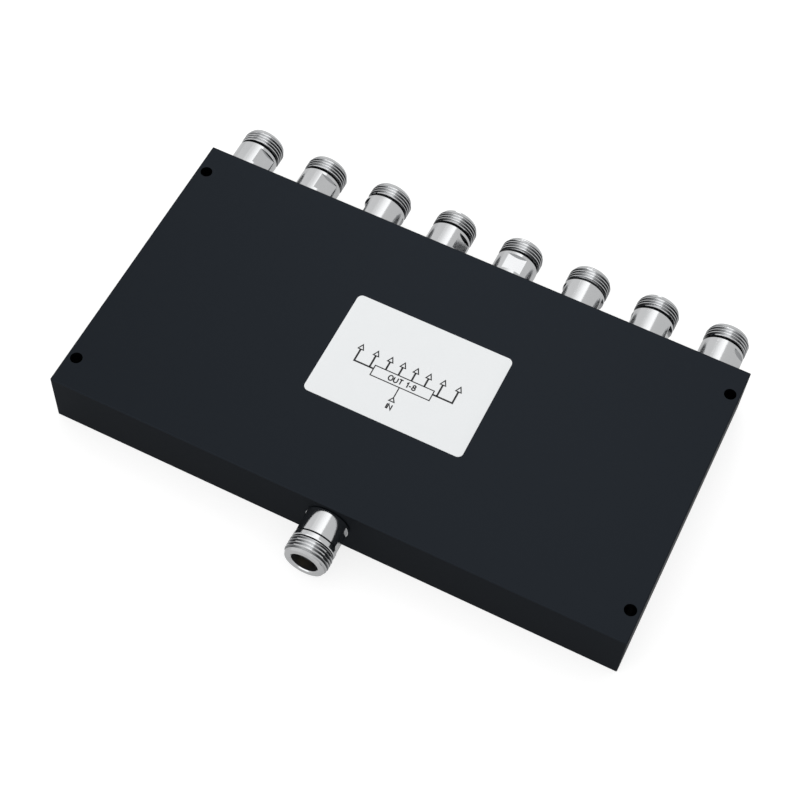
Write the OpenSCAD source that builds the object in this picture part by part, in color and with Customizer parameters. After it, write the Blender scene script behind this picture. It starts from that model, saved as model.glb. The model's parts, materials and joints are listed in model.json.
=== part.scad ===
// Eight-way coaxial power splitter: a black milled case with one input socket and a row of output sockets.
// The origin is the middle of the case's underside. +X runs along the outputs, +Y towards them, +Z is up.

/* [Case] */
// Distance between the axes of neighbouring outputs
port_pitch = 26.4; // [24:0.1:32]
// Distance from the last output's axis to the end of the case
port_margin = 12.6; // [12:0.1:18]
// Depth of the case, from the input wall to the output wall
case_d = 112; // [100:1:130]
// Height of the case
case_h = 23; // [21.5:0.5:30]
// Height of the connector axes above the underside
axis_h = 13; // [11:0.25:13.5]
// Thickness of the two end walls
end_wall = 8; // [7.6:0.1:10]
// Thickness of the two walls that hold the connectors
port_wall = 8; // [7:0.25:10]
// Radius that the cutter leaves in the corners of the cavity
cavity_corner = 3; // [2:0.5:6]
// Chamfer on the outer edges
edge_chamfer = 0.3; // [0.2:0.1:1]

/* [Mounting holes] */
// Distance from a hole's axis to the end of the case
mount_edge_x = 3.5; // [3:0.1:4]
// Distance from a hole's axis to the connector wall
mount_edge_y = 11.25; // [8:0.25:20]
// Diameter of the four through holes
mount_d = 4.3; // [3.2:0.1:4.5]
// Metal left between a hole and the cover's recess
mount_land = 0.75; // [0.5:0.05:1]

/* [Bottom cover] */
// Thickness of the cover plate
cover_t = 2; // [1.5:0.1:3]
// Rim of the case beside the cover, along the connector walls
cover_rim = 1.5; // [1:0.1:2]
// Gap round the edge of the cover
cover_gap = 0.1; // [0.05:0.05:0.2]
// Radius of the cover's corners
cover_corner = 4; // [2:0.5:6]

/* [Screws] */
// Thread diameter of the cover and board screws
screw_d = 2.5; // [2:0.1:3]
// Radial clearance of a screw in its hole
screw_clear = 0.05; // [0.02:0.01:0.1]
// Head diameter of a countersunk cover screw
flat_head_d = 4.7; // [4.2:0.1:5]
// Length of a cover screw, head and all
cover_screw_len = 7; // [5:0.5:8]
// Head diameter of a board screw
pan_head_d = 4.5; // [4:0.1:6]
// Head height of a board screw
pan_head_h = 1.7; // [1.2:0.1:2.5]
// Thread length of a board screw above the board
board_screw_grip = 5; // [3:0.5:6]
// Width of the cross recess in a head
recess_w = 0.6; // [0.4:0.1:0.8]
// Length of the cross recess across a head
recess_l = 2.4; // [1.8:0.1:3]
// Depth of the cross recess
recess_h = 0.8; // [0.5:0.1:1.2]

/* [Circuit board] */
// Thickness of the board
board_t = 1.5; // [0.8:0.1:2]
// Gap between the board and the cavity walls
board_gap = 0.5; // [0.2:0.1:1]
// Thickness of the copper tracks
track_t = 0.1; // [0.05:0.05:0.2]
// Width of a feed track
feed_w = 3; // [2:0.1:4]
// Width of a track in the ring sections
ring_w = 1.2; // [0.8:0.1:1.6]
// Length of the feed into each divider
feed_len = 5; // [4:0.5:7]
// Length of the last stretch to an output
tail_feed = 6.5; // [6:0.5:9]
// Gap between the two arms of a divider
arm_gap = 0.8; // [0.5:0.1:1.2]
// Length of a chip resistor
chip_l = 2; // [1.8:0.1:3.2]
// Width of a chip resistor
chip_w = 1.25; // [0.8:0.05:1.6]
// Height of a chip resistor
chip_h = 0.5; // [0.3:0.05:0.7]

/* [Connector shells] */
// Length of a connector outside the wall
shell_len = 17.3; // [16:0.1:20]
// Diameter of the turned body
shell_d = 15.7; // [15.4:0.1:16.5]
// Diameter of the shank that screws into the wall
shank_d = 9; // [8.6:0.1:9]
// Radial clearance of the shank in the wall
shank_clear = 0.05; // [0.02:0.01:0.08]
// Distance across the two wrench flats
flat_af = 13.8; // [13.4:0.1:15]
// Distance from the wall to the flats of an output
out_flat_start = 2.5; // [1:0.1:3]
// Length of the flats of an output
out_flat_len = 6.7; // [6:0.1:7]
// Distance from the wall to the flats of the input
in_flat_start = 1.1; // [0.8:0.1:1.4]
// Length of the flats of the input
in_flat_len = 7.7; // [6.5:0.1:7.8]
// Width of the turned groove beside the input's flats
in_groove_w = 0.6; // [0.4:0.1:0.8]
// Diameter at the bottom of that groove
in_groove_d = 14.1; // [13.5:0.1:15]
// Distance from the wall to the end of an output's collar
out_collar_end = 10.5; // [10.3:0.1:11.5]
// Distance from the wall to the end of the input's collar
in_collar_end = 11; // [10.3:0.1:11.5]
// Width of the run-out groove behind an output's thread
out_relief_w = 1; // [0.6:0.1:1.4]
// Width of the run-out groove behind the input's thread
in_relief_w = 0.5; // [0.4:0.1:1]
// Diameter at the bottom of the run-out grooves
relief_d = 13.4; // [13:0.1:14.6]
// Outside diameter of the coupling thread, five eighths of an inch
thread_d = 15.875; // [15.5:0.025:15.9]
// Length of the lead-in cone at the front of the thread
lead_len = 1.7; // [1:0.1:2.2]
// Depth of that cone, measured on the radius
lead_depth = 0.85; // [0.4:0.05:1.2]
// Chamfer on the edges of the body
shell_chamfer = 0.25; // [0.1:0.05:0.4]
// Diameter of the mouth
mouth_d = 9.7; // [9:0.1:10.4]
// Depth of the mouth
mouth_depth = 4; // [3:0.1:5]
// Chamfer round the mouth
mouth_chamfer = 0.35; // [0.2:0.05:0.6]
// Diameter of the outer conductor's bore
bore_d = 8.1; // [7.6:0.1:8.6]
// Depth of that bore below the front face
bore_depth = 9.2; // [8.5:0.1:10]

/* [Connector cores] */
// Diameter of the insulator
insulator_d = 6.4; // [5.6:0.1:7]
// Radial clearance of the insulator and of the contact
core_clear = 0.03; // [0.01:0.01:0.05]
// Diameter of the socket contact
socket_d = 3; // [2.6:0.05:3.4]
// Bore of the socket contact
socket_bore = 1.7; // [1.5:0.05:1.9]
// Depth of the socket's tip below the front face
socket_setback = 4.4; // [4:0.1:5.5]
// Depth that the socket sits in the insulator
socket_seat = 3; // [2:0.1:4]
// Width of the slots in the socket
slot_w = 0.3; // [0.2:0.05:0.4]
// Depth of the slots and of the socket's bore
slot_depth = 4; // [3:0.1:4.5]
// Diameter of the contact's tail
tail_d = 1.3; // [1.1:0.05:1.6]
// Height of the tail's soldering flat above its axis
tail_flat = 0.35; // [0.2:0.05:0.45]
// Length of the tail inside the cavity
tail_len = 4; // [3:0.1:5]

/* [Label] */
// Width of the label
label_w = 59; // [40:1:80]
// Depth of the label
label_d = 43; // [30:1:60]
// Thickness of the label
label_t = 0.15; // [0.1:0.05:0.3]
// Radius of the label's corners
label_corner = 2; // [0.5:0.1:4]
// Sideways shift of the label from the middle of the case
label_x = 1.1; // [-10:0.1:10]
// Shift of the label towards the outputs
label_y = 1.4; // [-10:0.1:10]

/* [Hidden] */
$fn = 64;
// Each stage splits every line in two
stages = 3;
outputs = pow(2, stages);
// Direction that a wrench flat of each output faces, in degrees from +X towards +Z
out_flat_turn = [45, 55, 163, 33, 88, 176, 5, 33];
in_flat_turn = 0;
// Overshoot of a cut past the face that it opens
cut = 1;

case_w = (outputs - 1) * port_pitch + 2 * port_margin;
cavity_w = case_w - 2 * end_wall;
cavity_d = case_d - 2 * port_wall;
mount_x = case_w / 2 - mount_edge_x;
mount_y = case_d / 2 - mount_edge_y;

recess_size = [case_w - 2 * (mount_edge_x + mount_d / 2 + mount_land), case_d - 2 * cover_rim];
cover_screw_y = case_d / 2 - (cover_rim + port_wall) / 2;
cover_screw_x = [for (k = [-3, -1, 1, 3]) k * port_pitch];
flat_head_h = (flat_head_d - screw_d) / 2;

// The board hangs under the roof of the cavity with its tracks facing down on the contact tails
track_z = axis_h + tail_flat;
board_z = track_z + track_t;
roof_z = board_z + board_t;
board_w = cavity_w - 2 * board_gap;
board_d = cavity_d - 2 * board_gap;

// The divider tree runs from the input edge of the board to the output edge in equal stages
stage_pitch = (board_d - tail_feed) / stages;
ring_cells = 3;
ring_pitch = (stage_pitch - feed_len - feed_w) / ring_cells;
ring_r = (ring_pitch + ring_w) / 2;
board_screw_at = [
    [-3 * port_pitch, -board_d / 2 + stage_pitch / 2],
    [3 * port_pitch, -board_d / 2 + stage_pitch / 2],
    [-2 * port_pitch, board_d / 2 - stage_pitch / 2],
    [0, board_d / 2 - stage_pitch / 2],
    [2 * port_pitch, board_d / 2 - stage_pitch / 2]
];

bore_floor = shell_len - bore_depth;
socket_tip = shell_len - socket_setback;
socket_floor = bore_floor - socket_seat;

function output_x(i) = (i - (outputs + 1) / 2) * port_pitch;
function port_nodes(port) = [for (piece = ["shell", "insulator", "contact"]) str(port, "_", piece)];

// Rectangle with round corners, centred on the origin
module round_rect(w, d, r) {
    square([w - 2 * r, d], center = true);
    square([w, d - 2 * r], center = true);
    for (x = [-1, 1], y = [-1, 1])
        translate([x * (w / 2 - r), y * (d / 2 - r)])
            circle(r);
}

// Rectangle with its corners cut at 45 degrees
module cut_rect(w, d, c) {
    polygon([
        [-w / 2 + c, -d / 2], [w / 2 - c, -d / 2], [w / 2, -d / 2 + c], [w / 2, d / 2 - c],
        [w / 2 - c, d / 2], [-w / 2 + c, d / 2], [-w / 2, d / 2 - c], [-w / 2, -d / 2 + c]
    ]);
}

// Puts a connector piece, drawn upwards from the wall face, on the wall at that side (1 outputs, -1 input)
module at_port(side, x, turn = 0) {
    translate([x, side * case_d / 2, axis_h])
        rotate([-side * 90, 0, 0])
            rotate([0, 0, -side * turn])
                children();
}

module at_each_port() {
    at_port(-1, 0)
        children();
    for (i = [1:outputs])
        at_port(1, output_x(i))
            children();
}

module at_cover_screws() {
    for (x = cover_screw_x, side = [-1, 1])
        translate([x, side * cover_screw_y, 0])
            children();
}

module at_board_screws() {
    for (p = board_screw_at)
        translate([p.x, p.y, board_z])
            children();
}

// Cross recess for a driver, opening downwards at z = 0
module cross_recess() {
    for (turn = [0, 90])
        rotate([0, 0, turn])
            translate([-recess_l / 2, -recess_w / 2, -cut])
                cube([recess_l, recess_w, recess_h + cut]);
}

// Half section of a countersunk screw, widened by a clearance and lengthened below its head to cut a hole
function flat_screw_section(extra = 0, below = 0) = concat(
    below > 0 ? [[0, -below], [flat_head_d / 2 + extra, -below]] : [[0, 0]],
    [
        [flat_head_d / 2 + extra, 0],
        [screw_d / 2 + extra, flat_head_h],
        [screw_d / 2 + extra, cover_screw_len + extra],
        [0, cover_screw_len + extra]
    ]
);

// Block with chamfered edges, before anything is cut from it
module case_block() {
    side = edge_chamfer * sqrt(2);
    difference() {
        linear_extrude(case_h)
            cut_rect(case_w, case_d, edge_chamfer);
        for (y = [-1, 1], z = [0, case_h])
            translate([0, y * case_d / 2, z])
                rotate([45, 0, 0])
                    cube([case_w + 2 * cut, side, side], center = true);
        for (x = [-1, 1], z = [0, case_h])
            translate([x * case_w / 2, 0, z])
                rotate([0, 45, 0])
                    cube([side, case_d + 2 * cut, side], center = true);
    }
}

// One block, milled hollow from below, with a ledge for the cover
module housing() {
    color("#22262b")
        difference() {
            case_block();
            translate([0, 0, -cut])
                linear_extrude(roof_z + cut)
                    round_rect(cavity_w, cavity_d, cavity_corner);
            translate([0, 0, -cut])
                linear_extrude(cover_t + cut)
                    round_rect(recess_size.x, recess_size.y, cover_corner);
            for (x = [-1, 1], y = [-1, 1])
                translate([x * mount_x, y * mount_y, -cut])
                    cylinder(h = case_h + 2 * cut, d = mount_d);
            at_each_port()
                translate([0, 0, -port_wall - board_gap])
                    cylinder(h = port_wall + board_gap + cut, r = shank_d / 2 + shank_clear);
            at_cover_screws()
                cylinder(h = cover_screw_len + cut, r = screw_d / 2 + screw_clear);
            at_board_screws()
                cylinder(h = board_t + board_screw_grip + cut, r = screw_d / 2 + screw_clear);
        }
}

// Flat plate that lies flush in the underside
module bottom_cover() {
    color("#24282d")
        difference() {
            linear_extrude(cover_t)
                round_rect(
                    recess_size.x - 2 * cover_gap,
                    recess_size.y - 2 * cover_gap,
                    cover_corner - cover_gap
                );
            at_cover_screws()
                rotate_extrude()
                    polygon(flat_screw_section(screw_clear, cut));
        }
}

module cover_screws() {
    color("#2a2c2f")
        at_cover_screws()
            difference() {
                rotate_extrude()
                    polygon(flat_screw_section());
                cross_recess();
            }
}

module circuit_board() {
    color("#dcd8c4")
        difference() {
            translate([0, 0, board_z])
                linear_extrude(board_t)
                    round_rect(board_w, board_d, cavity_corner);
            at_board_screws()
                translate([0, 0, -cut])
                    cylinder(h = board_t + 2 * cut, r = screw_d / 2 + screw_clear);
        }
}

// One two-way divider, from y = 0 upwards: a feed, a chain of split rings and two arms that turn up into the
// feeds of the next stage
module divider(span) {
    arm_y = stage_pitch - feed_w;
    translate([-feed_w / 2, 0])
        square([feed_w, feed_len + ring_w]);
    difference() {
        union() {
            for (k = [0:ring_cells - 1])
                translate([0, feed_len + ring_r + k * ring_pitch])
                    difference() {
                        circle(ring_r);
                        circle(ring_r - ring_w);
                    }
            translate([-span / 2 - feed_w / 2, arm_y])
                square([span + feed_w, feed_w]);
            for (x = [-span / 2, span / 2])
                translate([x - feed_w / 2, arm_y])
                    square([feed_w, 2 * feed_w]);
        }
        translate([-arm_gap / 2, feed_len + ring_r])
            square([arm_gap, stage_pitch]);
    }
}

// Runs its children at the foot of every divider in the tree, with $span set to the distance of its arms
module each_divider() {
    for (stage = [0:stages - 1]) {
        count = pow(2, stage);
        $span = outputs / count / 2 * port_pitch;
        for (k = [0:count - 1])
            translate([(k - (count - 1) / 2) * 2 * $span, -board_d / 2 + stage * stage_pitch])
                children();
    }
}

// Copper tree that halves the line three times, from the input's tail to the eight output tails
module microstrip_tracks() {
    color("#c98f4a")
        translate([0, 0, track_z])
            linear_extrude(track_t) {
                each_divider()
                    divider($span);
                for (i = [1:outputs])
                    translate([output_x(i) - feed_w / 2, board_d / 2 - tail_feed])
                        square([feed_w, tail_feed]);
            }
}

// A chip bridges the two arms at the top of every ring
module isolation_resistors() {
    color("#1d1d20")
        each_divider()
            for (k = [1:ring_cells])
                translate([-chip_l / 2, feed_len + k * ring_pitch + ring_w / 2 - chip_w / 2, track_z - chip_h])
                    cube([chip_l, chip_w, chip_h]);
}

module board_screws() {
    color("#b9bcc0")
        at_board_screws() {
            cylinder(h = board_t + board_screw_grip, d = screw_d);
            translate([0, 0, -pan_head_h])
                difference() {
                    cylinder(h = pan_head_h, d = pan_head_d);
                    cross_recess();
                }
        }
}

module label() {
    color("#e9eaec")
        translate([label_x, label_y, case_h])
            linear_extrude(label_t)
                round_rect(label_w, label_d, label_corner);
}

// Half section of a shell: shank, body, collar, run-out groove, thread, lead-in cone, mouth and stepped bore
module shell_section(collar_end, relief_w) {
    polygon([
        [insulator_d / 2 + core_clear, -port_wall],
        [shank_d / 2, -port_wall],
        [shank_d / 2, 0],
        [shell_d / 2 - shell_chamfer, 0],
        [shell_d / 2, shell_chamfer],
        [shell_d / 2, collar_end - shell_chamfer],
        [shell_d / 2 - shell_chamfer, collar_end],
        [relief_d / 2, collar_end],
        [relief_d / 2, collar_end + relief_w],
        [thread_d / 2 - shell_chamfer, collar_end + relief_w],
        [thread_d / 2, collar_end + relief_w + shell_chamfer],
        [thread_d / 2, shell_len - lead_len],
        [thread_d / 2 - lead_depth, shell_len],
        [mouth_d / 2 + mouth_chamfer, shell_len],
        [mouth_d / 2, shell_len - mouth_chamfer],
        [mouth_d / 2, shell_len - mouth_depth],
        [bore_d / 2, shell_len - mouth_depth],
        [bore_d / 2, bore_floor],
        [insulator_d / 2 + core_clear, bore_floor]
    ]);
}

// Turned shell with two wrench flats milled into its body
module shell(flat_start, flat_len, collar_end, relief_w) {
    color("#c9ccd0")
        difference() {
            rotate_extrude()
                shell_section(collar_end, relief_w);
            for (turn = [0, 180])
                rotate([0, 0, turn])
                    translate([flat_af / 2, -shell_d / 2, flat_start])
                        cube([shell_d, shell_d, flat_len]);
        }
}

// The input's shell has a narrow groove between its flats and its collar
module grooved_shell() {
    color("#c9ccd0")
        difference() {
            shell(in_flat_start, in_flat_len, in_collar_end, in_relief_w);
            translate([0, 0, in_flat_start + in_flat_len])
                difference() {
                    cylinder(h = in_groove_w, d = shell_d + cut);
                    translate([0, 0, -cut])
                        cylinder(h = in_groove_w + 2 * cut, d = in_groove_d);
                }
        }
}

// White sleeve that holds the contact in the shell
module insulator() {
    color("#f2f1ec")
        rotate_extrude()
            polygon([
                [tail_d / 2 + core_clear, -port_wall],
                [insulator_d / 2, -port_wall],
                [insulator_d / 2, bore_floor],
                [socket_d / 2 + core_clear, bore_floor],
                [socket_d / 2 + core_clear, socket_floor],
                [tail_d / 2 + core_clear, socket_floor]
            ]);
}

// Slotted socket in front, round pin behind
module contact_form() {
    difference() {
        union() {
            translate([0, 0, socket_floor])
                cylinder(h = socket_tip - socket_floor, d = socket_d);
            translate([0, 0, -port_wall - tail_len])
                cylinder(h = port_wall + tail_len + socket_floor, d = tail_d);
        }
        translate([0, 0, socket_tip - slot_depth])
            cylinder(h = slot_depth + cut, d = socket_bore);
        for (turn = [45, 135])
            rotate([0, 0, turn])
                translate([-socket_d, -slot_w / 2, socket_tip - slot_depth])
                    cube([2 * socket_d, slot_w, slot_depth + cut]);
    }
}

// Contact in place, with the end of its tail cut flat to lie against the track
module contact(side, x) {
    color("#d9b45a")
        difference() {
            at_port(side, x)
                contact_form();
            translate([x, side * (case_d / 2 - port_wall - tail_len), track_z + tail_d / 2])
                cube([2 * tail_d, 2 * tail_len, tail_d], center = true);
        }
}

housing();
bottom_cover();
cover_screws();
circuit_board();
microstrip_tracks();
isolation_resistors();
board_screws();
label();
at_port(-1, 0, in_flat_turn) grooved_shell();  // input_shell
at_port(-1, 0) insulator();  // input_insulator
contact(-1, 0);  // input_contact
for (i = [1:outputs]) {
    port = str("output_", i);
    at_port(1, output_x(i), out_flat_turn[i - 1])
            shell(out_flat_start, out_flat_len, out_collar_end, out_relief_w);
    at_port(1, output_x(i)) insulator();
    contact(1, output_x(i));
}
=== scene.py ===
import json
import math

import bpy
import numpy as np
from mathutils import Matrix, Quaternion, Vector


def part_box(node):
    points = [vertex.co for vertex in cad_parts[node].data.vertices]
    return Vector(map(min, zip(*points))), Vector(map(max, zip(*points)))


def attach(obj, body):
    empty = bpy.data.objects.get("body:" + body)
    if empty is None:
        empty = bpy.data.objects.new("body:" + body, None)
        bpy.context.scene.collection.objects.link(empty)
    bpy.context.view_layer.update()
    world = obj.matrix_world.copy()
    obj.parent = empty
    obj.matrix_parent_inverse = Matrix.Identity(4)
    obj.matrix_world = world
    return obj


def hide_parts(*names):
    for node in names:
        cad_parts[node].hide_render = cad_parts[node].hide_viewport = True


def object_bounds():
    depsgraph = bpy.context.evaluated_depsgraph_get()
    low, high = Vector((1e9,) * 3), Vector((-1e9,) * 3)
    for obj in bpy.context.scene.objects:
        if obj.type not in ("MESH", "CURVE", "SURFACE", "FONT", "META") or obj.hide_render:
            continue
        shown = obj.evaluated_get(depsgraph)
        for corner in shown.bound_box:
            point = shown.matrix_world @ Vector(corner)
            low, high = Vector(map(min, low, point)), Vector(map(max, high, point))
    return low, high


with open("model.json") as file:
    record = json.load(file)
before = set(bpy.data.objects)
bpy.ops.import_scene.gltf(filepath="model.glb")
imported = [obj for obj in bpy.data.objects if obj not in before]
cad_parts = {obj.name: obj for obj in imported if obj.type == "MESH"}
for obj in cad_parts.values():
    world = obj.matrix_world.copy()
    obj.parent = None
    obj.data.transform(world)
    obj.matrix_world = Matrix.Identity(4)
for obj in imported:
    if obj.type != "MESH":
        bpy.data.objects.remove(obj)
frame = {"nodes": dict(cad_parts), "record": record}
cad_low, cad_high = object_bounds()

# Sizes are metres unless a name says otherwise, and places come from the frame.
MM = 0.001
TAU = 2 * math.pi
nodes = frame["nodes"]
mounts = {m["name"]: m for m in frame["record"]["mounts"]}
ports = sorted(name[: -len("_shell")] for name in nodes if name.endswith("_shell"))
case_low, case_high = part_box("housing")

# Turned connector shell, measured along its axis from the wall
BODY_R = 7.85 * MM
BODY_CHAMFER = 0.25 * MM
SHANK_R = 4.5 * MM
OUTPUT_FLAT = 6.9 * MM
INPUT_FLAT = 7.1 * MM
FLAT_STEP = 0.05 * MM
INPUT_GROOVE_W = 0.6 * MM
INPUT_GROOVE_R = 7.05 * MM
# Start and end of the wrench flats, end of the collar and end of the run-out groove
INPUT_STEPS = np.array([1.1, 8.8, 11.0, 11.5]) * MM
OUTPUT_STEPS = np.array([2.5, 9.2, 10.5, 11.5]) * MM
RELIEF_R = 6.7 * MM
SHOULDER_R = 7.1 * MM
THREAD_PITCH = 1.2 * MM
THREAD_DEPTH = 0.6 * MM
THREAD_CREST = 0.25
THREAD_ROOT = 0.125
LEAD_LEN = 1.7 * MM
LEAD_DEPTH = 0.85 * MM
LEAD_RUNOUT = 0.7 * MM
MOUTH_R = 4.85 * MM
MOUTH_DEPTH = 4.0 * MM
MOUTH_CHAMFER = 0.35 * MM
# The mouth keeps its plain plate this far in, and has shade painted into it behind that
MOUTH_BRIGHT = 0.42 * MM
BORE_R = 4.05 * MM
BORE_DEPTH = 9.2 * MM
CORE_R = 3.23 * MM
# Direction that one wrench flat of each connector faces, in degrees from +X towards +Z
FLAT_TURN = {"input": 0, "output_1": 45, "output_2": 55, "output_3": 163, "output_4": 33,
             "output_5": 88, "output_6": 176, "output_7": 5, "output_8": 33}
# How far from the wall, in millimetres, a crest of the thread crosses the top of each connector
TOP_CREST = {"input": 11.6, "output_1": 11.75, "output_2": 11.75, "output_3": 11.65, "output_4": 11.5,
             "output_5": 12.35, "output_6": 12.0, "output_7": 12.75, "output_8": 12.9}
# Grid columns over a wrench flat and over a round side, and grid rows to a pitch of the thread
FLAT_COLUMNS = 20
ROUND_COLUMNS = 52
THREAD_ROWS = 16
# Where shade is painted fully onto a shell, its first map coordinate is less by this much
SHADE_UV = 8.0
# Share of shade painted into the mouth behind its rim and into the bore
BORE_SHADE = 0.75
# Strength of the shade painted into the thread's roots on top and at the sides, and the power of the wave
# that it follows there
SHADE_TOP = 0.1
SHADE_SIDE = 0.95
SHADE_TOP_POWER = 1.5
SHADE_SIDE_POWER = 0.2
# Cosines between which the top of a connector turns into its side
SIDE_COSINES = [0.15, 0.55]
# Points that share a place to this step are joined, and edges sharper than this angle stay sharp
WELD_STEP = 0.0005 * MM
SHARP_EDGE = math.radians(32)

# Label and its print, in the label's own plane with its centre at zero
LABEL_CORNER = 2.0 * MM
LABEL_EDGE = 0.05 * MM
CORNER_STEPS = 10
EDGE_STEPS = 3
TOP_STEPS = 8
PRINT_T = 0.02 * MM
DIAGRAM_X = -0.5 * MM
BOX_LOW_Y = -6.3 * MM
BOX_HIGH_Y = -2.1 * MM
BOX_HALF_W = 11.1 * MM
BUS_Y = -3.6 * MM
ARROW_TIP_Y = 3.4 * MM
ARROW_HEAD_W = 2.0 * MM
ARROW_HEAD_H = 2.0 * MM
ARROW_X = [2.45 * MM, 7.25 * MM, 12.65 * MM, 18.45 * MM]
ARROWS_ON_BOX = 2
INPUT_END_Y = -12.4 * MM
INPUT_HEAD_H = 1.6 * MM
THICK_LINE = 0.65 * MM
THIN_LINE = 0.4 * MM
# Least cosine of half a corner's turn that a mitre still follows
MITRE_LIMIT = 0.4
LETTER_H = 2.0 * MM
LETTER_LINE = 0.46 * MM
IN_TEXT_Y = -15.6 * MM

# Nickel: its two shades, the dark colour of its painted shade, its roughness, and what the painted shade adds
# to that
PLATE_SHADES = ((0.56, 0.567, 0.576), (0.635, 0.642, 0.65))
PAINTED_SHADE_COLOUR = (0.045, 0.049, 0.055, 1)
PLATE_ROUGH = (0.06, 0.16)
SHADE_ROUGH = 0.3
# Marks of the lathe on the nickel, and the cloud in its shade
MARKS_PER_MM = 9.0
MARK_DEPTH = 0.012 * MM
MARK_STRENGTH = 0.5
CLOUD_SCALE = 2500.0
CLOUD_COARSE = 0.6
# Scale of the coarse noise in a grain, as a share of the fine one's
COARSE_SCALE = 0.06

# Camera and light of the photograph
CAMERA_EYE = Vector((0.11859, -0.29274, 0.53754))
CAMERA_TARGET = Vector((0.00031, -0.00275, 0.0115))
CAMERA_ROLL = math.radians(4.552)
CAMERA_LENS = 80.207
SENSOR = 36.0
FLOOR_HALF = 6.0
FLOOR_DROP = 0.1 * MM
# Panels of the softbox as left, right, near and far edge and radiance: five in a row, and one further back
SOFTBOX_Z = 0.9
SOFTBOX_PANELS = [
    (-0.8, -0.45, 0.22, 0.82, 0.18),
    (-0.45, -0.3, 0.22, 0.82, 0.34),
    (-0.3, -0.15, 0.22, 0.82, 0.54),
    (-0.15, 0.0, 0.22, 0.82, 0.72),
    (0.0, 0.24, 0.22, 0.82, 0.86),
    (-0.78, -0.18, 1.0, 1.66, 3.2)]
FRONT_LAMP_PLACE = Vector((-0.2, -1.2, 0.34))
FRONT_LAMP_SIZE = (1.2, 0.62)
FRONT_LAMP_RADIANCE = 0.8
# Radiance of the studio on each side, and the sideways share of a direction at which it is reached
STUDIO_LEFT = 0.87
STUDIO_RIGHT = 0.76
STUDIO_TURN = 0.7
# Shade of the floor, and the light added where the camera sees it and where reflections do
FLOOR_ALBEDO = 0.45
FLOOR_GLOW = 0.72
FLOOR_REFLECTED = 0.32


# Mesh building
def grid_quads(rows, columns):
    """Corner numbers of every cell of a grid of rows by columns of points, counted row by row."""
    r, c = np.meshgrid(np.arange(rows - 1), np.arange(columns - 1), indexing="ij")
    first = (r * columns + c).ravel()
    return np.stack([first, first + 1, first + columns + 1, first + columns], axis=1)


def weld(points, quads):
    """Joins points that share a place; cells that lose a corner become triangles, and flat ones are
    dropped. Returns the points left, the faces as lists of new corner numbers and the old corner of every
    face corner."""
    key = np.round(points / WELD_STEP).astype(np.int64)
    _, keep, new = np.unique(key, axis=0, return_index=True, return_inverse=True)
    new = new.ravel()
    corners = new[quads]
    same = corners == np.roll(corners, -1, axis=1)
    count = same.sum(axis=1)
    faces = corners[count == 0].tolist()
    old = [quads[count == 0].ravel()]
    for k in range(4):
        mask = (count == 1) & same[:, k]
        three = [c for c in range(4) if c != k]
        faces += corners[mask][:, three].tolist()
        old.append(quads[mask][:, three].ravel())
    return points[keep], faces, np.concatenate(old)


def add_piece(name, points, quads, material, uv=None):
    """Makes a piece from grid points and cells, with smooth faces that break at sharp edges."""
    points, faces, old = weld(points, quads)
    mesh = bpy.data.meshes.new(name)
    mesh.from_pydata(points.tolist(), [], faces)
    if uv is not None:
        layer = mesh.uv_layers.new(name="surface")
        layer.data.foreach_set("uv", uv[old].ravel())
    mesh.shade_smooth()
    mesh.set_sharp_from_angle(angle=SHARP_EDGE)
    mesh.materials.append(material)
    mesh.validate()
    piece = bpy.data.objects.new(name, mesh)
    bpy.context.scene.collection.objects.link(piece)
    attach(piece, "root")
    return piece


def join_grids(grids):
    """Puts several (points, quads, uv) grids end to end as one."""
    points, quads, uvs, offset = [], [], [], 0
    for p, q, uv in grids:
        points.append(p)
        quads.append(q + offset)
        uvs.append(uv)
        offset += len(p)
    return np.concatenate(points), np.concatenate(quads), np.concatenate(uvs)


# Connector shells
def column_angles(turn, flat):
    """Angles round a shell, from one edge of a flat once round, in even steps over each flat and round
    side."""
    half = math.acos(flat / BODY_R)
    edges = turn + np.array([-half, half, math.pi - half, math.pi + half, TAU - half])
    steps = [FLAT_COLUMNS, ROUND_COLUMNS, FLAT_COLUMNS, ROUND_COLUMNS]
    spans = [np.linspace(a, b, n, endpoint=False) for a, b, n in zip(edges[:-1], edges[1:], steps)]
    return np.append(np.concatenate(spans), edges[-1])


def thread_wave(phase):
    """Depth share of the thread at a phase of its turn: 0 along the flat crest, 1 along the root, and a
    straight flank between them."""
    away = 2 * np.abs(phase - np.round(phase))
    return np.clip((away - THREAD_CREST) / (1 - THREAD_CREST - THREAD_ROOT), 0, 1)


def shell_steps(port):
    """Distances from the wall at which a port's turned outline steps."""
    return INPUT_STEPS if port == "input" else OUTPUT_STEPS


def thread_start(port):
    """Distance from the wall at which a port's thread begins."""
    return shell_steps(port)[-1]


def flat_of(port):
    """Distance of a port's wrench flats from its axis."""
    return INPUT_FLAT if port == "input" else OUTPUT_FLAT


def wall_of(side):
    """Where the case's wall stands, at the back for a side of 1 and in front for -1."""
    return case_high.y if side > 0 else case_low.y


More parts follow.
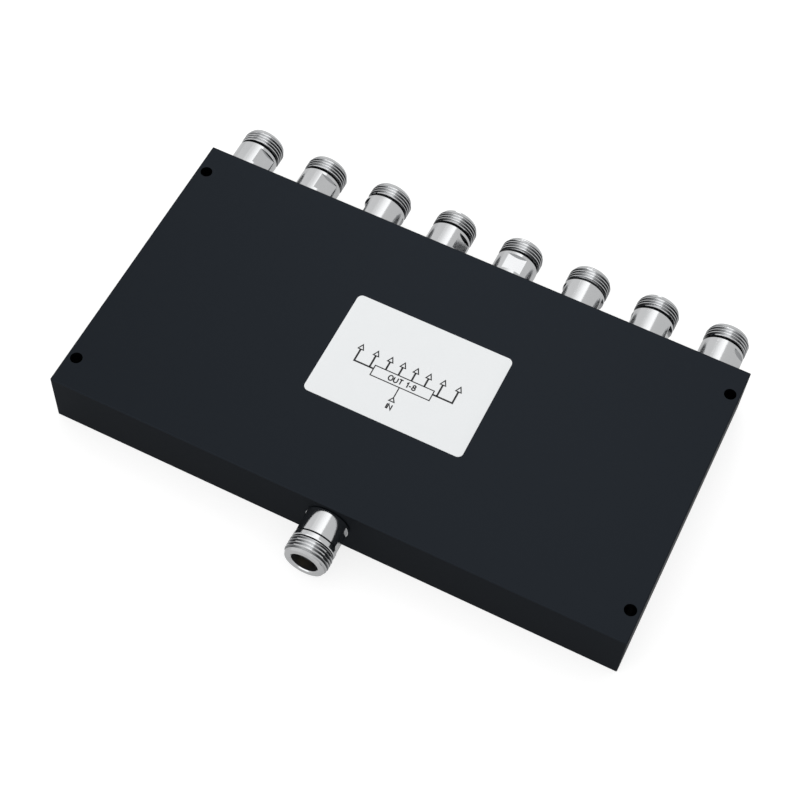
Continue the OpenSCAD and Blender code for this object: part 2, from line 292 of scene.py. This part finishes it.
def shell_profile(port, front, back):
    """Half section of a shell as (distance from the wall, radius, in a flat, painted shade) rows: from the
    front edge inwards through the mouth and bore, back along the core, round the shank and along the body to
    the thread. Shade is painted into the mouth behind its rim, the bore, the core, the shank's far end and
    the grooves."""
    start, end, collar_end, relief_end = shell_steps(port)
    # The mouth gets painted shade behind its bright rim
    mouth = [(front, MOUTH_R, 0, 0), (front, MOUTH_R + MOUTH_CHAMFER, 0, 0),
             (front - MOUTH_CHAMFER, MOUTH_R, 0, 0), (front - MOUTH_BRIGHT, MOUTH_R, 0, BORE_SHADE),
             (front - MOUTH_DEPTH, MOUTH_R, 0, BORE_SHADE)]
    # The bore gets painted shade, and the core behind it full painted shade
    bore = [(front - MOUTH_DEPTH, BORE_R, 0, BORE_SHADE), (front - BORE_DEPTH, BORE_R, 0, BORE_SHADE),
            (front - BORE_DEPTH, CORE_R, 0, BORE_SHADE), (back, CORE_R, 0, 1)]
    body = [(back, SHANK_R, 0, 1), (0, SHANK_R, 0, 0), (0, BODY_R - BODY_CHAMFER, 0, 0),
            (BODY_CHAMFER, BODY_R, 0, 0), (start - FLAT_STEP, BODY_R, 0, 0), (start, BODY_R, 1, 0)]
    if port == "input":
        # The input's groove gets full painted shade
        body += [(end, BODY_R, 1, 0), (end, INPUT_GROOVE_R, 1, 1),
                 (end + INPUT_GROOVE_W, INPUT_GROOVE_R, 0, 1), (end + INPUT_GROOVE_W, BODY_R, 0, 0)]
    else:
        body += [(end - FLAT_STEP, BODY_R, 1, 0), (end, BODY_R, 0, 0)]
    # The run-out groove behind the collar and its shoulder get full painted shade
    collar = [(collar_end - BODY_CHAMFER, BODY_R, 0, 0), (collar_end, BODY_R - BODY_CHAMFER, 0, 0),
              (collar_end, RELIEF_R, 0, 1), (relief_end, RELIEF_R, 0, 1),
              (relief_end, SHOULDER_R, 0, 1), (relief_end, BODY_R, 0, 0)]
    return np.array(mouth + bore + body + collar)


def flat_limit(angles, turn, flat):
    """Radius at which each direction meets the two wrench flats."""
    return flat / np.maximum(np.abs(np.cos(angles - turn)), 1e-6)


def place_on_wall(distance, radius, angles, mount):
    """Turns distances from the wall, radii and angles round a connector's axis into points of the model."""
    side = mount["axis"][1]
    x, _, z = mount["pos_m"]
    y = wall_of(side) + side * distance
    return np.stack([x + radius * np.cos(angles), y, z + radius * np.sin(angles)], axis=-1)


def thread_radius(port, front, distance, angles, side):
    """Radius of the threaded end, and the shade painted on it: the turned outline, with a chamfer behind and
    a cone in front, less the thread's wave, which turns right-handed about the outward axis and runs out
    along the cone. The painted shade is a power of the same wave, so it darkens the roots, and it is stronger
    at the sides than on top."""
    thread_r = mounts[port + "_thread"]["dims"]["r_mm"] * MM
    low = thread_start(port)
    phase = (distance - TOP_CREST[port] * MM) / THREAD_PITCH + side * (angles - math.pi / 2) / TAU
    outline = np.interp(distance, [low, low + BODY_CHAMFER, front - LEAD_LEN, front],
                        [thread_r - BODY_CHAMFER, thread_r, thread_r, thread_r - LEAD_DEPTH])
    runout = np.clip(1 - (thread_r - outline) / LEAD_RUNOUT, 0, 1)
    # Shade is painted darker into the roots at the sides of a connector than on its top
    sideways = np.interp(np.abs(np.cos(angles)), SIDE_COSINES, [0, 1])
    strongest_shade = SHADE_TOP + (SHADE_SIDE - SHADE_TOP) * sideways
    power = SHADE_TOP_POWER + (SHADE_SIDE_POWER - SHADE_TOP_POWER) * sideways
    wave = thread_wave(phase)
    return outline - THREAD_DEPTH * wave * runout, strongest_shade * wave ** power * runout


def turned_rows(port, front, back, angles, turn, side):
    """Surface of revolution through the half section, with the flats cut in as chords of the circle; its
    first and last rows are the rings that it shares with the threaded end."""
    profile = shell_profile(port, front, back)
    distance, radius, in_flat, painted_shade = np.repeat(profile.T[:, :, None], len(angles), axis=2)
    cut = np.minimum(radius, flat_limit(angles, turn, flat_of(port)))
    radius = np.where(in_flat > 0, cut, radius)
    for row in (0, -1):
        radius[row], painted_shade[row] = thread_radius(port, front, distance[row], angles, side)
    steps = np.hypot(np.diff(profile[:, 0]), np.diff(profile[:, 1]))
    run = np.concatenate([[0], np.cumsum(steps)])
    return distance, radius, np.repeat(run[:, None], len(angles), axis=1), painted_shade


def threaded_rows(port, front, angles, side):
    """Helical grid: each row climbs one pitch in a turn, so crest and root edges run along rows."""
    low = thread_start(port)
    climb = -side * (angles - angles[0]) / TAU
    crest = TOP_CREST[port] * MM - side * (angles[0] - math.pi / 2) / TAU * THREAD_PITCH
    rows = np.arange(math.floor((low - THREAD_PITCH - crest) / THREAD_PITCH * THREAD_ROWS),
                     math.ceil((front + THREAD_PITCH - crest) / THREAD_PITCH * THREAD_ROWS) + 1)
    start = crest + rows[:, None] / THREAD_ROWS * THREAD_PITCH
    distance = np.clip(start + climb[None, :] * THREAD_PITCH, low, front)
    radius, painted_shade = thread_radius(port, front, distance, angles[None, :], side)
    return distance, radius, distance, painted_shade


def connector_shell(port, material):
    """One shell: the turned grid and the helical grid share their end rings and are welded there."""
    mount = mounts[port + "_thread"]
    side = mount["axis"][1]
    low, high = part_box(port + "_shell")
    back, front = sorted((y - wall_of(side)) * side for y in (low.y, high.y))
    turn = math.radians(FLAT_TURN[port])
    angles = column_angles(turn, flat_of(port))
    grids = []
    for distance, radius, run, painted_shade in (turned_rows(port, front, back, angles, turn, side),
                                        threaded_rows(port, front, angles, side)):
        points = place_on_wall(distance, radius, angles, mount).reshape(-1, 3)
        # Cells run the other way round on the back wall, so that their faces point outwards there too
        quads = grid_quads(*distance.shape)
        quads = quads if side < 0 else quads[:, ::-1]
        # The shade painted on the shell is carried in the map's first coordinate
        round_share = (angles - turn) / TAU - SHADE_UV * painted_shade
        uv = np.stack([round_share, run / MM], axis=-1).reshape(-1, 2)
        grids.append((points, quads, uv))
    points, quads, uv = join_grids(grids)
    piece = add_piece(port + "_turned_shell", points, quads, material, uv)
    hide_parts(port + "_shell")


# Label
def rounded_outline(half_w, half_d, radius):
    """Rectangle with round corners as one closed run of points, a quarter circle at each corner."""
    quarter = np.linspace(0, math.pi / 2, CORNER_STEPS + 1)
    corners = [(1, 1, 0), (-1, 1, 1), (-1, -1, 2), (1, -1, 3)]
    parts = [np.stack([sx * (half_w - radius) + radius * np.cos(quarter + k * math.pi / 2),
                       sy * (half_d - radius) + radius * np.sin(quarter + k * math.pi / 2)], axis=1)
             for sx, sy, k in corners]
    outline = np.concatenate(parts)
    return np.vstack([outline, outline[:1]])


def label_sheet(material):
    """Film lofted through rings of its outline, each an (inset, height, share of its size): out from the
    middle of its underside, up the edge, over a small round, then in equal steps to the middle of its top."""
    low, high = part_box("label")
    centre = (low + high) / 2
    size = (high - low) / 2
    top = high.z - PRINT_T
    rings = [(0, low.z, 0.0), (0, low.z, 1.0), (0, top - LABEL_EDGE, 1.0)]
    rings += [(LABEL_EDGE * (1 - math.cos(a)), top - LABEL_EDGE * (1 - math.sin(a)), 1.0)
              for a in np.linspace(0, math.pi / 2, EDGE_STEPS + 1)[1:]]
    rings += [(LABEL_EDGE, top, share) for share in np.linspace(1, 0, TOP_STEPS + 1)[1:]]
    rows = []
    for inset, z, share in rings:
        outline = rounded_outline(size.x - inset, size.y - inset, LABEL_CORNER - inset) * share
        rows.append(np.column_stack([centre.x + outline[:, 0], centre.y + outline[:, 1],
                                     np.full(len(outline), z)]))
    grid = np.array(rows)
    quads = grid_quads(*grid.shape[:2])
    piece = add_piece("label_sheet", grid.reshape(-1, 3), quads, material)
    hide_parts("label")


def ribbon(path, width, closed=False):
    """Flat line of even width along a path: at each point the edges stand off by half the width, measured
    square to the two stretches that meet there, so corners are mitred."""
    path = np.asarray(path, float)
    ahead = np.roll(path, -1, axis=0) - path
    behind = path - np.roll(path, 1, axis=0)
    if not closed:
        ahead[-1], behind[0] = behind[-1], ahead[0]
    ahead /= np.linalg.norm(ahead, axis=1, keepdims=True)
    behind /= np.linalg.norm(behind, axis=1, keepdims=True)
    middle = ahead + behind
    middle /= np.linalg.norm(middle, axis=1, keepdims=True)
    out = np.column_stack([-middle[:, 1], middle[:, 0]])
    out /= np.maximum((middle * ahead).sum(axis=1, keepdims=True), MITRE_LIMIT)
    if closed:
        path, out = np.vstack([path, path[:1]]), np.vstack([out, out[:1]])
    return path + out * width / 2, path - out * width / 2


def ink_line(path, width, base, top, closed=False):
    """Closed slab of ink along a ribbon, with a blank map: its section is a thin rectangle, and open ends
    get a cap."""
    left, right = ribbon(path, width, closed)
    ring = [(left, base), (right, base), (right, top), (left, top), (left, base)]
    section = [np.column_stack([edge, np.full(len(edge), z)]) for edge, z in ring]
    if not closed:
        middle = np.column_stack([(left + right) / 2, np.full(len(left), (base + top) / 2)])
        section = [np.vstack([middle[:1], s, middle[-1:]]) for s in section]
    points = np.array(section).reshape(-1, 3)
    return points, grid_quads(len(section), len(section[0])), np.zeros((len(points), 2))


def arc(cx, cy, rx, ry, start, end, steps=10):
    """Points of an elliptic arc between two angles in degrees."""
    a = np.radians(np.linspace(start, end, steps + 1))
    return np.column_stack([cx + rx * np.cos(a), cy + ry * np.sin(a)])


# Letters are strokes in a cell one unit high, with the baseline at zero
LETTERS = {
    "I": [[(0.12, 0), (0.12, 1)]],
    "N": [[(0, 0), (0, 1), (0.66, 0), (0.66, 1)]],
    "O": [arc(0.38, 0.5, 0.38, 0.5, 0, 360, 20)],
    "U": [np.vstack([[(0, 1)], arc(0.33, 0.33, 0.33, 0.33, 180, 360), [(0.66, 1)]])],
    "T": [[(0, 1), (0.66, 1)], [(0.33, 1), (0.33, 0)]],
    "-": [[(0.05, 0.42), (0.4, 0.42)]],
    "1": [[(0.1, 0.78), (0.36, 1), (0.36, 0)]],
    "8": [arc(0.3, 0.76, 0.23, 0.24, -90, 270, 16), arc(0.3, 0.26, 0.29, 0.26, 90, 450, 16)],
}
# Gaps after a letter and between words, in the same units
LETTER_GAP = 0.24
WORD_GAP = 0.4


def text_strokes(text, centre_x, base_y, height):
    """Strokes of a word, set out letter by letter and centred on a place."""
    strokes, pen = [], 0.0
    for letter in text:
        if letter == " ":
            pen += WORD_GAP
            continue
        shapes = [np.asarray(s, float) for s in LETTERS[letter]]
        strokes += [s + (pen, 0) for s in shapes]
        pen += max(s[:, 0].max() for s in shapes) + LETTER_GAP
    width = pen - LETTER_GAP
    return [(s - (width / 2, 0)) * height + (centre_x, base_y) for s in strokes]


def arrow_head(x, base, tip):
    """Outline of an arrow's head as (path, line width, closed): a triangle from its base to its tip."""
    return [(x - ARROW_HEAD_W / 2, base), (x + ARROW_HEAD_W / 2, base), (x, tip)], THIN_LINE, True


def diagram_lines():
    """The splitter's plan on the label as (path, line width, closed): a box with the word for the outputs,
    eight arrows, four of them on its top and two on each side line, and the input's line below."""
    box = [(-BOX_HALF_W, BOX_LOW_Y), (BOX_HALF_W, BOX_LOW_Y),
           (BOX_HALF_W, BOX_HIGH_Y), (-BOX_HALF_W, BOX_HIGH_Y)]
    lines = [(box, THIN_LINE, True)]
    neck = ARROW_TIP_Y - ARROW_HEAD_H
    for side in (-1, 1):
        end = side * ARROW_X[-1]
        lines.append(([(side * BOX_HALF_W, BUS_Y), (end, BUS_Y), (end, neck)], THICK_LINE, False))
        for k, x in enumerate(ARROW_X):
            foot = BOX_HIGH_Y if k < ARROWS_ON_BOX else BUS_Y
            if x != ARROW_X[-1]:
                lines.append(([(side * x, foot), (side * x, neck)], THICK_LINE, False))
            lines.append(arrow_head(side * x, neck, ARROW_TIP_Y))
    input_tip = INPUT_END_Y + INPUT_HEAD_H
    lines.append(([(0, BOX_LOW_Y), (0, input_tip)], THIN_LINE, False))
    lines.append(arrow_head(0, INPUT_END_Y, input_tip))
    words = text_strokes("OUT 1-8", 0, (BOX_LOW_Y + BOX_HIGH_Y - LETTER_H) / 2, LETTER_H)
    words += text_strokes("IN", 0, IN_TEXT_Y, LETTER_H)
    return lines + [(path, LETTER_LINE, False) for path in words]


def label_print(material):
    """All the ink on the label as one piece of thin slabs on the film."""
    low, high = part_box("label")
    centre = (low + high) / 2
    place = np.array((centre.x + DIAGRAM_X, centre.y))
    grids = [ink_line(np.asarray(path) + place, width, high.z - PRINT_T, high.z, closed)
             for path, width, closed in diagram_lines()]
    points, quads, _ = join_grids(grids)
    add_piece("label_print", points, quads, material)


# Shared shader groups
def new_group(name, inputs, outputs):
    """Starts a shader group: inputs are (type, name, default), outputs are (type, name)."""
    group = bpy.data.node_groups.new(name, "ShaderNodeTree")
    for kind, title, default in inputs:
        socket = group.interface.new_socket(name=title, in_out="INPUT", socket_type=kind)
        if default is not None:
            socket.default_value = default
    for kind, title in outputs:
        group.interface.new_socket(name=title, in_out="OUTPUT", socket_type=kind)
    return group, group.nodes.new("NodeGroupInput"), group.nodes.new("NodeGroupOutput")


def math_node(tree, operation, a, b=None, clamp=False):
    """Adds a Math node; each value is a socket or a number."""
    node = tree.nodes.new("ShaderNodeMath")
    node.operation = operation
    node.use_clamp = clamp
    for k, value in enumerate((a, b)):
        if value is None:
            continue
        if isinstance(value, (int, float)):
            node.inputs[k].default_value = value
        else:
            tree.links.new(value, node.inputs[k])
    return node.outputs[0]


def grain_group():
    """Fine grain: two sizes of noise, mixed into one value around a half."""
    group, given, result = new_group(
        "fine_grain",
        [("NodeSocketVector", "Place", None), ("NodeSocketFloat", "Scale", 1000.0),
         ("NodeSocketFloat", "Coarse share", 0.3)],
        [("NodeSocketFloat", "Grain")])
    fine = group.nodes.new("ShaderNodeTexNoise")
    fine.inputs["Detail"].default_value = 3.0
    coarse = group.nodes.new("ShaderNodeTexNoise")
    coarse.inputs["Detail"].default_value = 2.0
    for node in (fine, coarse):
        group.links.new(given.outputs["Place"], node.inputs["Vector"])
    group.links.new(given.outputs["Scale"], fine.inputs["Scale"])
    coarse_scale = math_node(group, "MULTIPLY", given.outputs["Scale"], COARSE_SCALE)
    group.links.new(coarse_scale, coarse.inputs["Scale"])
    mix = group.nodes.new("ShaderNodeMix")
    group.links.new(given.outputs["Coarse share"], mix.inputs["Factor"])
    group.links.new(fine.outputs["Fac"], mix.inputs["A"])
    group.links.new(coarse.outputs["Fac"], mix.inputs["B"])
    group.links.new(mix.outputs["Result"], result.inputs["Grain"])
    return group


def turning_group():
    """Lathe marks: noise that changes only along the turned outline, so every mark is a ring."""
    group, given, result = new_group(
        "turning_marks",
        [("NodeSocketFloat", "Along", 0.0), ("NodeSocketFloat", "Marks per mm", 12.0)],
        [("NodeSocketFloat", "Marks")])
    noise = group.nodes.new("ShaderNodeTexNoise")
    noise.noise_dimensions = "1D"
    noise.inputs["Detail"].default_value = 4.0
    noise.inputs["Roughness"].default_value = 0.7
    group.links.new(given.outputs["Along"], noise.inputs["W"])
    group.links.new(given.outputs["Marks per mm"], noise.inputs["Scale"])
    group.links.new(noise.outputs["Fac"], result.inputs["Marks"])
    return group


GRAIN = grain_group()
TURNING = turning_group()


# Materials
def new_material(name):
    """A material with one Principled shader, and its tree."""
    material = bpy.data.materials.new(name)
    material.use_nodes = True
    tree = material.node_tree
    return material, tree, tree.nodes["Principled BSDF"]


def place_group(tree, group, **values):
    """Puts a shared group in a material: sockets are linked, numbers are set."""
    node = tree.nodes.new("ShaderNodeGroup")
    node.node_tree = group
    for title, value in values.items():
        socket = node.inputs[title.replace("_", " ")]
        if isinstance(value, bpy.types.NodeSocket):
            tree.links.new(value, socket)
        else:
            socket.default_value = value
    return node


def object_place(tree):
    """The point on the piece in the model's own coordinates."""
    return tree.nodes.new("ShaderNodeTexCoord").outputs["Object"]


def blend_colours(tree, factor, low, high):
    """Colour between two, by a value from zero to one."""
    ramp = tree.nodes.new("ShaderNodeValToRGB")
    ramp.color_ramp.elements[0].color = (*low, 1)
    ramp.color_ramp.elements[1].color = (*high, 1)
    tree.links.new(factor, ramp.inputs["Fac"])
    return ramp.outputs["Color"]


def map_value(tree, value, low, high):
    """A value from zero to one stretched to a range."""
    node = tree.nodes.new("ShaderNodeMapRange")
    node.inputs["To Min"].default_value = low
    node.inputs["To Max"].default_value = high
    tree.links.new(value, node.inputs["Value"])
    return node.outputs["Result"]


def add_bump(tree, shader, height, distance, strength=1.0):
    """Lets a height value tilt the surface's normal."""
    bump = tree.nodes.new("ShaderNodeBump")
    bump.inputs["Strength"].default_value = strength
    bump.inputs["Distance"].default_value = distance
    tree.links.new(height, bump.inputs["Height"])
    tree.links.new(bump.outputs["Normal"], shader.inputs["Normal"])


def grained(name, dark, light, rough, scale, coarse=0.3, metallic=0.0, bump=0.0, specular=None, edge=None):
    """A finish with fine grain: colour and roughness move between two values, and the grain may stand
    proud."""
    material, tree, shader = new_material(name)
    node = place_group(tree, GRAIN, Place=object_place(tree), Scale=scale, Coarse_share=coarse)
    grain = node.outputs["Grain"]
    tree.links.new(blend_colours(tree, grain, dark, light), shader.inputs["Base Color"])
    tree.links.new(map_value(tree, grain, *rough), shader.inputs["Roughness"])
    shader.inputs["Metallic"].default_value = metallic
    if specular is not None:
        shader.inputs["Specular IOR Level"].default_value = specular
    if edge is not None:
        shader.inputs["Specular Tint"].default_value = (edge, edge, edge, 1)
    if bump:
        add_bump(tree, shader, grain, bump)
    return material


def nickel():
    """Bright nickel on a turned body: rings from the lathe in its height and roughness and a faint cloud in
    its shade.
    It is darker, with painted shade, and rougher where the map's first coordinate carries that painted shade."""
    material, tree, shader = new_material("bright_nickel")
    uv = tree.nodes.new("ShaderNodeUVMap")
    uv.uv_map = "surface"
    split = tree.nodes.new("ShaderNodeSeparateXYZ")
    tree.links.new(uv.outputs["UV"], split.inputs["Vector"])
    turning = place_group(tree, TURNING, Along=split.outputs["Y"], Marks_per_mm=MARKS_PER_MM)
    marks = turning.outputs["Marks"]
    cloud = place_group(tree, GRAIN, Place=object_place(tree), Scale=CLOUD_SCALE, Coarse_share=CLOUD_COARSE)
    shift = math_node(tree, "SUBTRACT", 0.0, split.outputs["X"])
    # Painted shade, read back from the map's first coordinate, darkens the plate's colour
    painted_shade = math_node(tree, "DIVIDE", shift, SHADE_UV, clamp=True)
    plate = blend_colours(tree, cloud.outputs["Grain"], *PLATE_SHADES)
    colour = tree.nodes.new("ShaderNodeMix")
    colour.data_type = "RGBA"
    tree.links.new(painted_shade, colour.inputs["Factor"])
    tree.links.new(plate, colour.inputs["A"])
    colour.inputs["B"].default_value = PAINTED_SHADE_COLOUR
    tree.links.new(colour.outputs["Result"], shader.inputs["Base Color"])
    added = math_node(tree, "MULTIPLY", painted_shade, SHADE_ROUGH)
    rough = math_node(tree, "ADD", map_value(tree, marks, *PLATE_ROUGH), added)
    tree.links.new(rough, shader.inputs["Roughness"])
    shader.inputs["Metallic"].default_value = 1.0
    add_bump(tree, shader, marks, MARK_DEPTH, MARK_STRENGTH)
    return material


materials = {
    "black_case": grained("black_anodised", (0.0137, 0.0168, 0.0211), (0.0173, 0.0204, 0.0250),
                          rough=(0.36, 0.48), scale=9000.0, coarse=0.35, metallic=1.0, bump=0.01 * MM,
                          edge=0.56),
    "black_steel": grained("blackened_steel", (0.010, 0.010, 0.011), (0.030, 0.030, 0.032),
                           rough=(0.30, 0.5), scale=5000.0, metallic=0.6),
    "laminate": grained("glass_laminate", (0.62, 0.59, 0.46), (0.76, 0.73, 0.60),
                        rough=(0.45, 0.6), scale=1500.0),
    "copper": grained("bare_copper", (0.66, 0.36, 0.17), (0.80, 0.48, 0.26),
                      rough=(0.22, 0.4), scale=2000.0, metallic=1.0),
    "resistor_chip": grained("resistor_glaze", (0.014, 0.014, 0.016), (0.03, 0.03, 0.034),
                             rough=(0.35, 0.5), scale=3000.0),
    "plated_steel": grained("zinc_plate", (0.52, 0.53, 0.54), (0.66, 0.67, 0.68),
                            rough=(0.25, 0.4), scale=3000.0, metallic=1.0),
    "label_film": grained("label_film", (0.845, 0.865, 0.875), (0.885, 0.90, 0.91),
                          rough=(0.42, 0.55), scale=4000.0, coarse=0.5, bump=0.004 * MM, specular=0.3),
    "nickel_plate": nickel(),
    "white_insulator": grained("waxy_insulator", (0.80, 0.80, 0.77), (0.88, 0.88, 0.86),
                               rough=(0.35, 0.5), scale=2500.0),
    "gold_plate": grained("gold_plate", (0.78, 0.56, 0.20), (0.90, 0.68, 0.30),
                          rough=(0.15, 0.28), scale=3000.0, metallic=1.0),
}
ink = grained("printed_ink", (0.010, 0.010, 0.011), (0.022, 0.022, 0.024),
              rough=(0.5, 0.65), scale=5000.0, specular=0.3)

for part in frame["record"]["subparts"]:
    node_mesh = nodes[part["node"]].data
    node_mesh.materials.clear()
    node_mesh.materials.append(materials[part["material_slot"]])

for port in ports:
    connector_shell(port, materials["nickel_plate"])
label_sheet(materials["label_film"])
label_print(ink)


# Floor, light and camera
def floor_material():
    """White floor that takes shadows; the camera and, less so, reflections see extra light on it."""
    material, tree, shader = new_material("white_floor")
    shader.inputs["Base Color"].default_value = (FLOOR_ALBEDO, FLOOR_ALBEDO, FLOOR_ALBEDO, 1)
    shader.inputs["Roughness"].default_value = 0.9
    shader.inputs["Specular IOR Level"].default_value = 0.0
    path = tree.nodes.new("ShaderNodeLightPath")
    seen = math_node(tree, "MULTIPLY", path.outputs["Is Camera Ray"], FLOOR_GLOW)
    bounced = path.outputs["Is Glossy Ray"]
    mirrored = math_node(tree, "MAXIMUM", bounced, path.outputs["Is Transmission Ray"])
    mirrored = math_node(tree, "MULTIPLY", mirrored, FLOOR_REFLECTED)
    shader.inputs["Emission Color"].default_value = (1, 1, 1, 1)
    tree.links.new(math_node(tree, "MAXIMUM", seen, mirrored), shader.inputs["Emission Strength"])
    return material


def lay_floor():
    """One level square under the object."""
    xs = np.array([-FLOOR_HALF, 0, FLOOR_HALF])
    x, y = np.meshgrid(xs, xs)
    points = np.column_stack([x.ravel(), y.ravel(), np.full(x.size, cad_low.z - FLOOR_DROP)])
    mesh = bpy.data.meshes.new("floor")
    mesh.from_pydata(points.tolist(), [], grid_quads(len(xs), len(xs)).tolist())
    mesh.materials.append(floor_material())
    floor = bpy.data.objects.new("floor", mesh)
    bpy.context.scene.collection.objects.link(floor)


def studio_world():
    """Pale studio walls: even light that falls off a little from the left to the right."""
    world = bpy.data.worlds.new("studio")
    world.use_nodes = True
    bpy.context.scene.world = world
    tree = world.node_tree
    background = tree.nodes["Background"]
    split = tree.nodes.new("ShaderNodeSeparateXYZ")
    tree.links.new(tree.nodes.new("ShaderNodeTexCoord").outputs["Generated"], split.inputs["Vector"])
    shade = tree.nodes.new("ShaderNodeMapRange")
    shade.interpolation_type = "SMOOTHSTEP"
    shade.inputs["From Min"].default_value = -STUDIO_TURN
    shade.inputs["From Max"].default_value = STUDIO_TURN
    shade.inputs["To Min"].default_value = STUDIO_LEFT
    shade.inputs["To Max"].default_value = STUDIO_RIGHT
    tree.links.new(split.outputs["X"], shade.inputs["Value"])
    background.inputs["Color"].default_value = (1, 1, 1, 1)
    tree.links.new(shade.outputs["Result"], background.inputs["Strength"])


def area_lamp(name, place, size, radiance):
    """Flat lamp that faces down; its power is pi times its radiance times its area."""
    light = bpy.data.lights.new(name, "AREA")
    light.shape = "RECTANGLE"
    light.size, light.size_y = size
    light.energy = radiance * math.pi * light.size * light.size_y
    lamp = bpy.data.objects.new(name, light)
    lamp.location = place
    bpy.context.scene.collection.objects.link(lamp)
    return lamp


def softbox():
    """Large soft lamp overhead and behind, in panels."""
    for left, right, near, far, radiance in SOFTBOX_PANELS:
        place = ((left + right) / 2, (near + far) / 2, SOFTBOX_Z)
        area_lamp("softbox", place, (right - left, far - near), radiance)


def front_lamp():
    """One lamp in front of the input, turned to face the object."""
    lamp = area_lamp("front_lamp", FRONT_LAMP_PLACE, FRONT_LAMP_SIZE, FRONT_LAMP_RADIANCE)
    lamp.rotation_euler = (-FRONT_LAMP_PLACE).to_track_quat("-Z", "Y").to_euler()


def place_camera():
    """Camera at the photograph's eye point, turned about its axis as the photograph is."""
    camera = bpy.data.cameras.new("camera")
    camera.lens = CAMERA_LENS
    camera.sensor_width = SENSOR
    camera.clip_start = 0.01
    holder = bpy.data.objects.new("camera", camera)
    holder.location = CAMERA_EYE
    holder.rotation_mode = "QUATERNION"
    aim = (CAMERA_TARGET - CAMERA_EYE).to_track_quat("-Z", "Y")
    holder.rotation_quaternion = aim @ Quaternion((0, 0, 1), CAMERA_ROLL)
    bpy.context.scene.collection.objects.link(holder)
    bpy.context.scene.camera = holder


lay_floor()
studio_world()
softbox()
front_lamp()
place_camera()
bpy.context.scene.view_settings.view_transform = "Standard"
